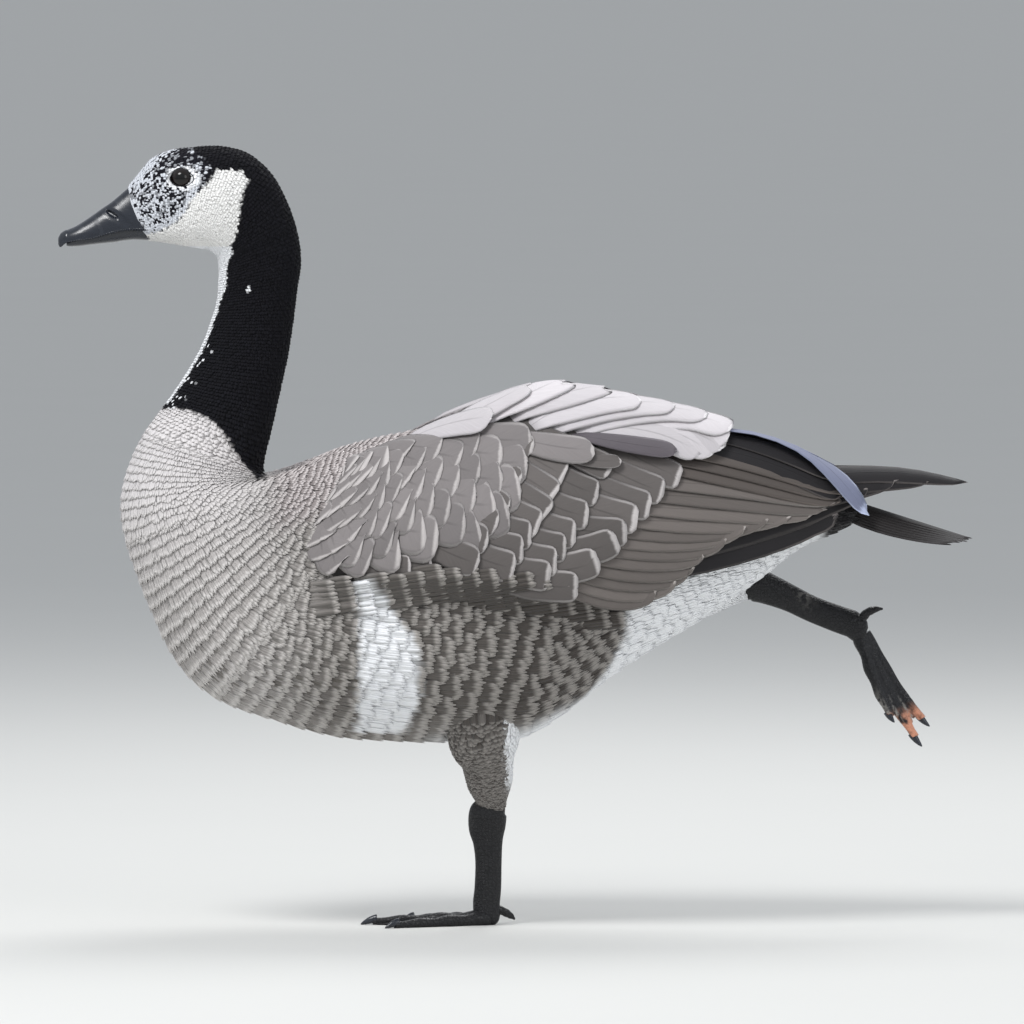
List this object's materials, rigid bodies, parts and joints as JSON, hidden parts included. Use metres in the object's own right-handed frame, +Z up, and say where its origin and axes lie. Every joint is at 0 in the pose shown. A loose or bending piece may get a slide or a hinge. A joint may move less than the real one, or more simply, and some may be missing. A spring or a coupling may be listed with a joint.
{
  "type": "canada goose, life-size still model",
  "caption": "Life-size still model of a canada goose standing on its left leg, with its right leg stretched back and its neck upright.",
  "frame": {"origin": "on the sole of the standing left foot, in the web between its middle and inner toes, at floor level", "axes": "+Z up; the bird faces -X, so +X runs from bill to tail; +Y towards the bird's right side"},
  "size_m": [0.6205, 0.2026, 0.5298],
  "materials": {
    "black_plumage": "satin",
    "body_plumage": "matte",
    "wing_plumage": "matte",
    "tail_plumage": "satin",
    "bill_horn": "satin",
    "leg_skin": "satin",
    "eye": "gloss"
  },
  "bodies": {
    "root": {"head": "black_plumage", "neck_upper": "black_plumage", "neck_lower": "black_plumage", "torso": "body_plumage", "left_thigh": "body_plumage", "right_thigh": "body_plumage", "wing_left": "wing_plumage", "wing_right": "wing_plumage", "tail": "tail_plumage", "bill_upper": "bill_horn", "bill_lower": "bill_horn", "eye_left": "eye", "eye_right": "eye", "left_shank": "leg_skin", "left_foot": "leg_skin", "right_shank": "leg_skin", "right_foot": "leg_skin"}
  },
  "joints": []
}
